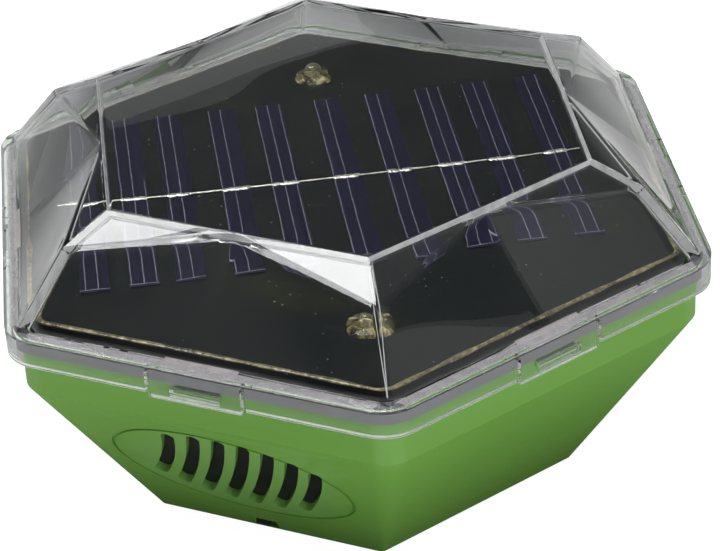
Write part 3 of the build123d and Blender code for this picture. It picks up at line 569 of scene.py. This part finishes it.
# ---------------------------------------------------------------- clear lid
def faceted_dome(top, shoulder, foot, base_z, rounding, steps=10):
    """A closed dome: a flat top, sloping triangles at its corners and sides creased at their middles.
    top, shoulder and foot are (corner radius, height), and straight walls go down to base_z."""
    bm = bmesh.new()
    tops, shoulders, feet = ([polar(radius, a, z) for a in CORNERS] for radius, z in (top, shoulder, foot))
    lid_points = []
    creases = []

    def patch(crest, sill, corner_high, corner_low):
        """A ruled side from its crease to its corner line."""
        grid = []
        for i in range(steps + 1):
            upper = crest.lerp(corner_high, i / steps)
            lower = sill.lerp(corner_low, i / steps)
            grid.append([bm.verts.new(upper.lerp(lower, j / steps)) for j in range(steps + 1)])
        for i in range(steps):
            for j in range(steps):
                bm.faces.new((grid[i][j], grid[i + 1][j], grid[i + 1][j + 1], grid[i][j + 1]))
        wall = [bm.verts.new((column[-1].co.x, column[-1].co.y, base_z)) for column in grid]
        for i in range(steps):
            bm.faces.new((grid[i][-1], grid[i + 1][-1], wall[i + 1], wall[i]))
        return [column[0].co.copy() for column in grid], [v.co.copy() for v in wall]

    base_points = []
    for k in range(6):
        n = (k + 1) % 6
        crest = (tops[k] + tops[n]) / 2
        sill = (feet[k] + feet[n]) / 2
        near, near_wall = patch(crest, sill, shoulders[k], feet[k])
        far, far_wall = patch(crest, sill, shoulders[n], feet[n])
        bm.faces.new([bm.verts.new(p) for p in [tops[k]] + list(reversed(near))])
        bm.faces.new([bm.verts.new(p) for p in [tops[n]] + far])
        lid_points += [tops[k], crest]
        base_points += list(reversed(near_wall))[:-1] + far_wall[:-1]
        creases += [(tops[k], crest), (crest, tops[n]), (tops[k], shoulders[k]), (crest, sill),
                    (crest, shoulders[k]), (crest, shoulders[n]), (shoulders[k], feet[k])]
    bm.faces.new([bm.verts.new(p) for p in lid_points])
    bm.faces.new([bm.verts.new(p) for p in base_points])
    bmesh.ops.remove_doubles(bm, verts=bm.verts, dist=0.001)
    bmesh.ops.recalc_face_normals(bm, faces=bm.faces)
    ridges = [edge for edge in bm.edges if any(on_line(edge, *crease) for crease in creases)]
    bmesh.ops.bevel(bm, geom=ridges, offset=rounding, segments=3, profile=0.5, affect="EDGES")
    return bm


def on_line(edge, start, end, slack=0.01):
    """Whether an edge lies on a straight line, within slack."""
    along = (end - start).normalized()
    reach = (end - start).length
    for vertex in edge.verts:
        offset = vertex.co - start
        forward = offset.dot(along)
        if (offset - along * forward).length > slack or not -slack < forward < reach + slack:
            return False
    return True


# Rounding of the dome's outer and inner edges.
EDGE_OUT, EDGE_IN = 0.55, 0.9


def build_lid():
    """The clear moulding: dome, flange, skirt and tongues, hollowed and cut as in the CAD."""
    z_under = Z_FLANGE - FLANGE_THICK
    lid = mesh_object(faceted_dome(*DOME, Z_FLANGE - FLANGE_THICK / 2, EDGE_OUT))

    slab = bmesh.new()
    prism(slab, hexagon(LID_R, LID_ROUND), Z_SKIRT, Z_FLANGE)
    combine(lid, slab, "UNION")

    tongues = bmesh.new()
    for side in SIDES:
        outline = side_outline(side, LID_FLAT - SKIRT_WALL + 0.01, LID_FLAT - 0.01, -TONGUE_HALF, TONGUE_HALF)
        prism(tongues, outline, Z_SKIRT - TONGUE_DROP, Z_SKIRT + 1.0)
    combine(lid, tongues, "UNION")

    inside = bmesh.new()
    prism(inside, hexagon((LID_FLAT - SKIRT_WALL) / FLAT, LID_ROUND - SKIRT_WALL), Z_SKIRT - 3.0, z_under)
    combine(lid, inside, "DIFFERENCE")

    sloped_foot = (CAVITY[2][0] + 0.9, z_under)
    combine(lid, faceted_dome(CAVITY[0], CAVITY[1], sloped_foot, z_under - 1.0, EDGE_IN), "DIFFERENCE")

    openings = bmesh.new()
    for side in SIDES:
        for edge in (-1, 1):
            middle = edge * (TONGUE_HALF + SLIT / 2)
            outline = side_outline(side, LID_FLAT - 3, LID_FLAT + 1, middle - SLIT / 2, middle + SLIT / 2)
            prism(openings, outline, Z_SKIRT - 2.0, z_under)
        outline = side_outline(side, LID_FLAT - 3, LID_FLAT + 1, -WINDOW_HALF, WINDOW_HALF)
        prism(openings, outline, Z_SKIRT, Z_SKIRT + WINDOW_HIGH)
    combine(lid, openings, "DIFFERENCE")

    bm = bmesh.new()
    bm.from_mesh(lid.data)
    bpy.data.objects.remove(lid)
    piece = make_piece("clear_lid", bm, MATERIALS["clear_shell"], "lid", "clear_shell", "lid")
    smooth(piece, 24.0)


def sheet(bm, corners, thick):
    """A thin closed plate on four corners."""
    across = (corners[1] - corners[0]).cross(corners[3] - corners[0]).normalized() * thick / 2
    near = [bm.verts.new(p - across) for p in corners]
    far = [bm.verts.new(p + across) for p in corners]
    bm.faces.new(list(reversed(near)))
    bm.faces.new(far)
    for k in range(4):
        n = (k + 1) % 4
        bm.faces.new((near[k], near[n], far[n], far[k]))


# ---------------------------------------------------------------- painted light inside the clear lid
# The painted-light sheets' thickness, and their two edges as shares of the way from the outer to the inner
# face.
SHEET = 0.12
WALL_SHARE = (0.10, 0.94)
# The front corner's two painted highlight lines: distance from the corner, and radius.
LINE_APART, LINE_R = 0.55, 0.11
# The painted highlight bead in the skirt's lower edge: half its width, and its height as a share of that.
RIM_HALF, RIM_SQUASH = 0.55, 0.3
# The painted-light layers in the flange and behind the tongues: from and to, out from the axis, and half a
# tongue's run.
FLANGE_RUN = (94.6 * FLAT, 98.4 * FLAT)
PAD_RUN, PAD_HALF = (80.4, 84.6), 9.6


def corner_painted_light():
    """Pale sheets of painted light in the wall, between each outer edge of the dome and the cavity's edge
    under it, standing in for the light seen in the thick wall there.
    """
    bm = bmesh.new()
    top_row, shoulder_row, foot_row = (
        [[polar(r_out, a, z_out).lerp(polar(r_in, a, z_in), share) for share in WALL_SHARE] for a in CORNERS]
        for (r_out, z_out), (r_in, z_in) in zip(DOME, CAVITY)
    )
    for k in range(6):
        top, shoulder, foot, next_top = top_row[k], shoulder_row[k], foot_row[k], top_row[(k + 1) % 6]
        gap = (next_top[0] - top[0]).normalized() * 0.15
        if k not in BACK_SIDES:
            sheet(bm, [top[0] + gap, next_top[0] - gap, next_top[1] - gap, top[1] + gap], SHEET)
        if k == FRONT_CORNER:
            front_painted_highlights(bm, *(pair[0].lerp(pair[1], 0.25) for pair in (top, shoulder, foot)))
            continue
        sheet(bm, [top[0], shoulder[0], shoulder[1], top[1]], SHEET)
        low = [foot[0].lerp(shoulder[0], 0.04), foot[1].lerp(shoulder[1], 0.04)]
        high = [shoulder[0].lerp(foot[0], 0.02), shoulder[1].lerp(foot[1], 0.02)]
        sheet(bm, [high[0], low[0], low[1], high[1]], SHEET)
    bmesh.ops.recalc_face_normals(bm, faces=bm.faces)
    return bm


def front_painted_highlights(bm, top, shoulder, foot):
    """Two thin painted highlight lines down the front corner, which is seen edge on."""
    for side in (-1, 1):
        across = Vector((LINE_APART * side, 0.0, 0.0))
        start, bend = top.lerp(shoulder, 0.10) + across, shoulder + across
        tube(bm, [top.lerp(shoulder, 0.06), start, bend, bend.lerp(foot, 0.94)], LINE_R, 6)


def rim_painted_light():
    """Painted highlight in the lower edge of the skirt, and of each tongue."""
    bm = bmesh.new()
    middle = LID_FLAT - SKIRT_WALL / 2
    clear_of_slit = TONGUE_HALF + SLIT + 0.3
    half = TONGUE_HALF - 0.3
    tongue_z = Z_SKIRT - TONGUE_DROP
    for side in SIDES:
        outline = side_outline(side, middle - 0.5, middle + 0.5, -half, half)
        prism(bm, outline, tongue_z + 0.12, tongue_z + 0.45)
        centre = polar(LID_R - LID_ROUND / FLAT, side + 30.0)
        points = [at_side(side, middle, clear_of_slit)]
        for j in range(11):
            points.append(centre + polar(LID_ROUND - SKIRT_WALL / 2, side + 60.0 * j / 10))
        points.append(at_side(side + 60.0, middle, -clear_of_slit))
        tube(bm, [Vector((p.x, p.y, Z_SKIRT + 0.32)) for p in points], RIM_HALF, 8, RIM_SQUASH)
    return bm


def flange_painted_light():
    """A faint layer of painted light in each straight run of the flange."""
    bm = bmesh.new()
    low, high = FLANGE_RUN
    half_low, half_high = low * math.tan(math.radians(30.0)) - 1.5, high * math.tan(math.radians(30.0)) - 4.6
    for side in SIDES:
        ends = ((low, -half_low), (high, -half_high), (high, half_high), (low, half_low))
        outline = [tuple(at_side(side, out, along).xy) for out, along in ends]
        prism(bm, outline, Z_FLANGE - 0.95, Z_FLANGE - 0.85)
    bmesh.ops.recalc_face_normals(bm, faces=bm.faces)
    return bm


def pad_painted_light():
    """A dull grey layer of painted light in the solid block behind each tongue."""
    bm = bmesh.new()
    for side in SIDES:
        prism(bm, side_outline(side, *PAD_RUN, -PAD_HALF, PAD_HALF), Z_FLANGE - 1.25, Z_FLANGE - 1.1)
    return bm


def build_painted_light():
    """The four pieces of painted light inside the thick plastic; each moves with the lid."""
    for name, bm, material in (("corner", corner_painted_light(), "corner_painted_light"), ("rim", rim_painted_light(), "rim_painted_light"),
                               ("flange", flange_painted_light(), "flange_painted_light"), ("tongue", pad_painted_light(), "pad_painted_light")):
        make_piece(f"lid_{name}_painted_light", bm, MATERIALS[material], "lid", "clear_shell")


def soften(piece, width, angle, segments=2):
    """Rounds a piece's edges by a width in millimetres, and shades the rest flat."""
    bevel = piece.modifiers.new("edges", "BEVEL")
    bevel.width = width * MM
    bevel.segments = segments
    bevel.limit_method = "ANGLE"
    bevel.angle_limit = math.radians(angle)
    bevel.use_clamp_overlap = True
    piece.data.shade_smooth()
    weighted = piece.modifiers.new("normals", "WEIGHTED_NORMAL")
    weighted.keep_sharp = True


# ---------------------------------------------------------------- solar cells
def slab(bm, x0, x1, y0, y1, z0, z1):
    """A box from corner to corner."""
    prism(bm, [(x0, y0), (x1, y0), (x1, y1), (x0, y1)], z0, z1)


def ribbon(bm, points, width, low, high):
    """A thin flat strip along points in the panel's plane."""
    left, right = [], []
    for i, p in enumerate(points):
        before, after = points[max(i - 1, 0)], points[min(i + 1, len(points) - 1)]
        ahead = (Vector(after) - Vector(before)).normalized()
        side = Vector((-ahead.y, ahead.x)) * width / 2
        left.append(Vector(p) + side)
        right.append(Vector(p) - side)
    outline = [tuple(p) for p in right] + [tuple(p) for p in reversed(left)]
    prism(bm, outline, low, high)


CELL_TOP = Z_FLANGE + 0.3
LINE_GAP = 3.13
LINE_WIDE = 0.2
# The printed lines of each column: how far the first is in from the strip's left edge, then which of
# three places have a line in the front half and in the back half.
LINES = (
    (1.4, (0, 1), (0, 1)), (0.4, (0, 1, 2), (0, 1)), (1.1, (0, 1), (0, 1)), (0.3, (0, 1), (0, 1)),
    (0.3, (0, 1, 2), (0, 1, 2)), (0.3, (0, 1), (0, 1)), (0.4, (0, 1), (0, 1)), (0.2, (0, 1, 2), (0, 1, 2)),
    (0.1, (1, 2), (1, 2)), (2.8, (0, 1), (0, 1)),
)


def build_cells():
    """Two narrow cells in each column, each cut a little unevenly."""
    rng = random.Random(11)
    strips = bmesh.new()
    for x in CELL_PLACES:
        for low, high in ((CELL_FRONT, BUS_Y - BUS_GAP), (BUS_Y + BUS_GAP, CELL_BACK)):
            x0 = x - CELL_WIDE / 2 + rng.uniform(0.0, 0.25)
            x1 = x + CELL_WIDE / 2 - rng.uniform(0.0, 0.25)
            slab(strips, x0, x1, low, high, Z_FLANGE, CELL_TOP)
    blue = MATERIALS["cell_blue"]
    piece = make_piece("cell_strips", turned(strips), blue, "housing", "cell_blue", "solar_cells")
    soften(piece, 0.06, 40.0)


def build_cell_lines():
    """Thin printed lines along each cell, and a short bar across its front end."""
    rng = random.Random(5)
    lines = bmesh.new()
    low, high = CELL_TOP - 0.03, CELL_TOP + 0.04

    def line(x, start, end):
        count = 12
        points = []
        for j in range(count + 1):
            points.append((x + rng.uniform(-0.06, 0.06), start + (end - start) * j / count))
        ribbon(lines, points, LINE_WIDE, low, high)

    for x, (inset, front, back) in zip(CELL_PLACES, LINES):
        left = x - CELL_WIDE / 2
        for place in front:
            line(left + inset + place * LINE_GAP, CELL_FRONT + 0.9, BUS_Y - 0.8)
        for place in back:
            line(left + inset + place * LINE_GAP, BUS_Y + 0.8, CELL_BACK - rng.uniform(0.0, 0.6))
        tilt = rng.uniform(-0.35, 0.35)
        y = CELL_FRONT + 0.9
        bar = [(left - 0.2, y - tilt), (x, y + 0.1), (left + CELL_WIDE, y + tilt)]
        ribbon(lines, bar, LINE_WIDE, low + 0.005, high + 0.005)
    short = CELL_PLACES[1] - CELL_WIDE / 2 + LINES[1][0] + 2 * LINE_GAP
    line(short, BUS_Y + 0.8, BUS_Y + 9.0)
    faded = CELL_PLACES[8] - CELL_WIDE / 2 + LINES[8][0]
    line(faded, BUS_Y + 17.0, CELL_BACK - 1.0)
    make_piece("cell_lines", turned(lines), MATERIALS["print_silver"], "housing", "tinned_wire")


BUS_OVERHANG = 6.0
BUS_GIRTH, BUS_SQUASH = (0.2, 0.34), 0.7
TAB_HALF, TAB_GIRTH, TAB_END, TAB_SQUASH = 3.4, (0.6, 1.0), 0.5, 0.34


def build_bus():
    """The tinned wire, and a flat solder tab on it at each column."""
    rng = random.Random(3)
    bus = bmesh.new()
    start, end = CELL_PLACES[0] - BUS_OVERHANG, CELL_PLACES[-1] + BUS_OVERHANG
    count = 60
    points, girth = [], []
    for i in range(count + 1):
        x = start + (end - start) * i / count
        points.append(Vector((x, BUS_Y + rng.uniform(-0.1, 0.1), CELL_TOP + 0.02)))
        girth.append(rng.uniform(*BUS_GIRTH))
    tube(bus, points, girth, 8, BUS_SQUASH)
    for x in CELL_PLACES:
        half = TAB_HALF + rng.uniform(-0.4, 0.3)
        x += rng.uniform(-0.4, 0.2)
        tab, girth = [], []
        steps = 12
        for i in range(steps + 1):
            place = (x - half + 2 * half * i / steps, BUS_Y + rng.uniform(-0.22, 0.22), CELL_TOP + 0.02)
            tab.append(Vector(place))
            girth.append(rng.uniform(*TAB_GIRTH))
        girth[0] = girth[-1] = TAB_END
        tube(bus, tab, girth, 10, TAB_SQUASH)
    piece = make_piece("bus_run", turned(bus), MATERIALS["tinned_wire"], "housing", "tinned_wire", "bus_wire")
    smooth(piece, 50.0)


# ---------------------------------------------------------------- edge adhesive
BEAD_FRONT, BEAD_THIN = 0.72, 0.30
BEAD_FRONT_Y = -12.0


def build_adhesive():
    """An uneven bead of glue round the panel, broad along its two front sides and thin elsewhere."""
    rng = random.Random(21)
    bead = bmesh.new()
    outline = hexagon(PANEL_R - 0.1, 4.0, 6)
    waves = [(rng.randint(5, 40), rng.uniform(0.0, 2 * math.pi)) for _ in range(6)]
    points, girth = [], []
    for k in range(len(outline)):
        a, b = Vector(outline[k]), Vector(outline[(k + 1) % len(outline)])
        pieces = max(1, round((b - a).length / 3.0))
        for j in range(pieces):
            p = a.lerp(b, j / pieces)
            points.append(Vector((p.x, p.y, Z_FLANGE - 0.12)))
            turn = math.atan2(p.y, p.x)
            wide = BEAD_FRONT if p.y < BEAD_FRONT_Y else BEAD_THIN
            girth.append(wide * (1.0 + 0.07 * sum(math.sin(count * turn + start) for count, start in waves)))
    tube(bead, points, girth, 10, 0.45, closed=True)
    amber = MATERIALS["amber_adhesive"]
    piece = make_piece("edge_adhesive", bead, amber, "housing", "amber_adhesive", "panel_bead")
    smooth(piece, 80.0)


# ---------------------------------------------------------------- indicator lights
# Inside the lens: the reflector cup as (radius, depth under the dome's centre), and the legs and their
# heads as (x from, x to, half depth in y, depth of the foot or None for the leg's end, depth of the top).
CUP_X = -0.3
CUP = ((0.0, 2.4), (0.9, 2.4), (1.6, 0.6), (1.4, 0.6), (0.7, 1.8), (0.0, 1.8))
LEGS = ((-1.5, -1.05, 0.25, None, 1.9), (-1.5, 0.4, 0.3, 2.9, 2.3), (1.05, 1.5, 0.25, None, 1.2),
        (0.9, 1.9, 0.45, 1.7, 1.1))
GLUE_HOLE = 2.6
GLUE_SPREAD = {"front": 5.6, "rear": 5.0}


def build_light(name, y):
    """A round lens over a reflector cup on two legs, set in a blob of glue."""
    node = "status_led_" + name
    centre = Vector((0.0, y, 0.0))
    dome_z = LED_TOP - LED_R
    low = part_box(node)[0].z / MM
    panel_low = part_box("solar_board")[0].z / MM
    collar_low = panel_low - 1.0
    profile = [(0.0, collar_low), (LED_COLLAR, collar_low), (LED_COLLAR, panel_low), (LED_R, panel_low)]
    steps = 8
    for j in range(steps):
        a = math.radians(90.0 * j / steps)
        profile.append((LED_R * math.cos(a), dome_z + LED_R * math.sin(a)))
    profile.append((0.0, dome_z + LED_R))
    lens = bmesh.new()
    lathe(lens, profile, centre)
    piece = make_piece("light_lens_" + name, lens, MATERIALS["clear_lens"], "housing", "clear_lens", node)
    smooth(piece, 40.0)

    inner = bmesh.new()
    lathe(inner, [(radius, dome_z - depth) for radius, depth in CUP], centre + Vector((CUP_X, 0.0, 0.0)), 20)
    for x_low, x_high, half, foot, top in LEGS:
        z_low = low if foot is None else dome_z - foot
        slab(inner, x_low, x_high, y - half, y + half, z_low, dome_z - top)
    piece = make_piece("light_frame_" + name, inner, MATERIALS["contact_nickel"], "housing", "contact_nickel")
    smooth(piece, 30.0)


def build_glue():
    """Hand-laid blobs of hot glue round the two lights."""
    rng = random.Random(17)
    around = 40
    glue = MATERIALS["clear_glue"]
    for name, y in (("front", -LED_Y), ("rear", LED_Y)):
        spread = GLUE_SPREAD[name]
        waves = [(rng.randint(2, 5), rng.uniform(0.03, 0.09), rng.uniform(0, 360)) for _ in range(4)]

        def wobble(angle):
            return 1.0 + sum(size * math.sin(math.radians(n * angle + turn)) for n, size, turn in waves)

        blob = bmesh.new()
        z = Z_FLANGE
        profile = [(GLUE_HOLE, z), (spread, z), (spread * 0.96, z + 0.35), (spread * 0.82, z + 0.75),
                   (3.2, z + 1.15), (GLUE_HOLE, z + 1.2)]
        rings = []
        for radius, height in profile:
            ring = []
            for j in range(around):
                a = 360.0 * j / around
                r = radius * wobble(a) if radius > GLUE_HOLE else radius
                ring.append(blob.verts.new(Vector((0, y, 0)) + polar(r, a, height)))
            rings.append(ring)
        for i in range(len(rings)):
            a, b = rings[i], rings[(i + 1) % len(rings)]
            for j in range(around):
                n = (j + 1) % around
                blob.faces.new((a[j], a[n], b[n], b[j]))
        bmesh.ops.recalc_face_normals(blob, faces=blob.faces)
        piece = make_piece("glue_blob_" + name, blob, glue, "housing", "clear_glue", "led_glue")
        smooth(piece, 70.0)


build_lid()
build_painted_light()
build_cells()
build_cell_lines()
build_bus()
build_adhesive()
build_light("front", -LED_Y)
build_light("rear", LED_Y)
build_glue()


# ---------------------------------------------------------------- studio
# The floor in metres: half its side, and where the painted shade round the object fades out.
FLOOR_HALF = 6.0
FLOOR_FADE = (0.07, 0.26)
# Its colour with painted shade near the object, further out, and with painted shade through the clear lid,
# and its own light by kind of ray.
FLOOR_CLOSE_PAINTED_SHADE, FLOOR_OPEN, FLOOR_PAINTED_SHADE_THROUGH_LID = (0.17, 0.17, 0.17), (0.80, 0.80, 0.80), (0.24, 0.24, 0.25)
GLOW_GLOSSY, GLOW_DIFFUSE, GLOW_SEEN = 0.30, 0.75, 0.98
# Name, direction, width and height in metres, radiance, and the turn about its own axis in degrees.
SOFT_BOXES = (
    ("key", (-0.153, 0.133, 1.0), 0.50, 0.40, 11.0, 0.0),
    ("wing", (-0.476, 0.280, 0.856), 0.40, 0.30, 9.0, 0.0),
    ("front", (0.0, -0.53, 0.85), 0.25, 0.25, 4.0, 0.0),
    ("fill", (0.46, -0.86, 0.13), 0.90, 0.36, 2.6, 0.0),
    ("left_fill", (-0.47, -0.86, 0.13), 0.50, 0.36, 0.7, 0.0),
    ("side", (0.694, -0.454, 0.574), 0.41, 0.50, 0.36, 0.0),
    ("cloud", (-0.024, 0.925, 0.372), 0.26, 0.11, 0.27, 24.0),
)
# Brightness of the surroundings by the height of the view direction.
SKY_STOPS = ((0.0, 0.58), (0.12, 0.50), (0.25, 0.12), (0.35, 0.045), (0.62, 0.06), (1.0, 0.30))
SKY_DIFFUSE = 0.5
# Place in metres, turn in degrees, and shift as a share of the picture's width.
CAMERA_PLACE = (-0.0494, -0.5904, 0.4194)
CAMERA_TURN = (57.81, 2.853, -6.979)
CAMERA_LENS, CAMERA_SENSOR = 133.65, 36.0
CAMERA_SHIFT = (-0.0014, 0.0016)


def add_floor():
    """A plain pale floor: even white to the camera; for light that bounces, painted shade darkens it close
    round the object and where it is seen through the clear lid.
    """
    mesh = bpy.data.meshes.new("floor")
    outline = [(x * FLOOR_HALF, y * FLOOR_HALF, 0) for x, y in ((-1, -1), (1, -1), (1, 1), (-1, 1))]
    mesh.from_pydata(outline, [], [(0, 1, 2, 3)])
    floor = bpy.data.objects.new("floor", mesh)
    bpy.context.scene.collection.objects.link(floor)
    m = Material("floor", (0.36, 0.36, 0.36), 0.9)
    reach = m.node("ShaderNodeVectorMath", operation="LENGTH")
    m.link(m.place, reach.inputs[0])
    open_floor = m.span(reach.outputs["Value"], *FLOOR_FADE)
    path = m.node("ShaderNodeLightPath")
    # Painted shade: darker close round the object, and darker again where seen through the clear lid.
    pale = m.mix(open_floor, FLOOR_CLOSE_PAINTED_SHADE, FLOOR_OPEN)
    m.color(m.mix(path.outputs["Is Transmission Ray"], pale, FLOOR_PAINTED_SHADE_THROUGH_LID))
    m.set("Emission Color", (1.0, 1.0, 1.0, 1.0))
    glossy = m.math("MULTIPLY", path.outputs["Is Glossy Ray"], m.math("MULTIPLY", open_floor, GLOW_GLOSSY))
    lifted = m.math("MULTIPLY", path.outputs["Is Diffuse Ray"], m.math("MULTIPLY", open_floor, GLOW_DIFFUSE))
    straight = m.math("MULTIPLY", path.outputs["Is Camera Ray"], GLOW_SEEN)
    glow = m.math("MAXIMUM", lifted, m.math("MAXIMUM", glossy, straight))
    m.link(glow, m.shader.inputs["Emission Strength"])
    m.set("Specular IOR Level", 0.0)
    mesh.materials.append(m.material)


def add_area(name, direction, width, height, radiance, roll):
    """A soft box one metre away that faces the lid, with its brightness as radiance."""
    data = bpy.data.lights.new(name, "AREA")
    data.shape = "RECTANGLE"
    data.size, data.size_y = width, height
    data.energy = radiance * width * height * math.pi
    lamp = bpy.data.objects.new(name, data)
    bpy.context.scene.collection.objects.link(lamp)
    aim = Vector((0.0, 0.0, Z_FLANGE * MM))
    away = Vector(direction).normalized()
    lamp.location = aim + away
    turn = away.to_track_quat("Z", "Y") @ Quaternion((0, 0, 1), math.radians(roll))
    lamp.rotation_euler = turn.to_euler()


def add_world():
    """Bright near the horizon and dim overhead, and weaker as a light than in reflections."""
    world = bpy.data.worlds.new("studio")
    bpy.context.scene.world = world
    world.use_nodes = True
    tree = world.node_tree
    sky = tree.nodes["Background"]
    place = tree.nodes.new("ShaderNodeTexCoord")
    axis = tree.nodes.new("ShaderNodeSeparateXYZ")
    ramp = tree.nodes.new("ShaderNodeValToRGB")
    tree.links.new(place.outputs["Generated"], axis.inputs[0])
    tree.links.new(axis.outputs["Z"], ramp.inputs["Fac"])
    tree.links.new(ramp.outputs["Color"], sky.inputs["Color"])
    path = tree.nodes.new("ShaderNodeLightPath")
    dim = tree.nodes.new("ShaderNodeMapRange")
    dim.inputs["To Min"].default_value, dim.inputs["To Max"].default_value = 1.0, SKY_DIFFUSE
    tree.links.new(path.outputs["Is Diffuse Ray"], dim.inputs["Value"])
    tree.links.new(dim.outputs["Result"], sky.inputs["Strength"])
    elements = ramp.color_ramp.elements
    elements[0].position, elements[1].position = SKY_STOPS[0][0], SKY_STOPS[-1][0]
    for position, _ in SKY_STOPS[1:-1]:
        elements.new(position)
    for element, (_, level) in zip(elements, SKY_STOPS):
        element.color = (level, level, level * 1.02, 1.0)


def add_camera():
    data = bpy.data.cameras.new("camera")
    data.lens = CAMERA_LENS
    data.sensor_width = CAMERA_SENSOR
    data.shift_x, data.shift_y = CAMERA_SHIFT
    camera = bpy.data.objects.new("camera", data)
    bpy.context.scene.collection.objects.link(camera)
    camera.location = CAMERA_PLACE
    camera.rotation_euler = Euler(tuple(math.radians(a) for a in CAMERA_TURN))
    bpy.context.scene.camera = camera


add_floor()
add_world()
for box in SOFT_BOXES:
    add_area(*box)
add_camera()
bpy.context.scene.view_settings.view_transform = "Standard"
